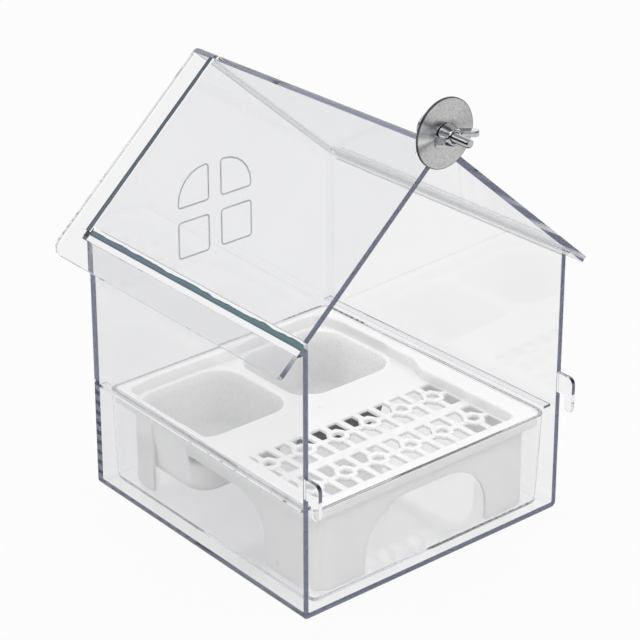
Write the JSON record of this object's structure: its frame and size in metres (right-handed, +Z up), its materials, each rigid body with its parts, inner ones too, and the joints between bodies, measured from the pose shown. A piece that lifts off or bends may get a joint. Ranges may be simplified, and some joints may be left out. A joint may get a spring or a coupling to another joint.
{
  "type": "bird cage feeder",
  "caption": "Clear house-shaped feeder that hooks and clamps to a cage, with a slide-out drawer and a lift-out tray of cups and husk grille.",
  "frame": {"origin": "middle of the house's flat underside, at the height that it stands on", "axes": "+Z up, the open front that meets the cage faces -Y, +X to the right seen from the front"},
  "size_m": [0.1718, 0.1746, 0.2137],
  "materials": {
    "clear_shell": "clear polished moulding with blue-grey edges",
    "clear_roof": "clear polished moulding with blue-grey edges",
    "clear_drawer": "clear polished moulding",
    "white_plastic": "opaque satin white moulding",
    "washer_steel": "fine turned face",
    "nut_chrome": "bright plated",
    "screw_steel": "bright plated"
  },
  "bodies": {
    "house": {"house_shell": "clear_shell", "roof": "clear_roof", "clamp_screw": "screw_steel"},
    "drawer": {"feeding_drawer": "clear_drawer"},
    "insert": {"feeding_insert": "white_plastic"},
    "washer": {"clamp_washer": "washer_steel"},
    "nut": {"wing_nut": "nut_chrome"}
  },
  "joints": [
    {"name": "drawer_slide", "type": "slide", "parent": "house", "child": "drawer", "axis": [0, -1, 0], "range_m": [0, 0.14]},
    {"name": "insert_lift", "type": "slide", "parent": "drawer", "child": "insert", "axis": [0, 0, 1], "range_m": [0, 0.05]},
    {"name": "washer_travel", "type": "slide", "parent": "house", "child": "washer", "axis": [0, -1, 0], "range_m": [0, 0.0056]},
    {"name": "wing_nut_turn", "type": "hinge", "parent": "washer", "child": "nut", "pos_m": [0, -0.0756, 0.19855], "axis": [0, -1, 0], "range_deg": [0, 2880]}
  ],
  "couplings": [
    {"joint": "wing_nut_turn", "follows": "washer_travel", "rad_per_m": 8975.9}
  ]
}
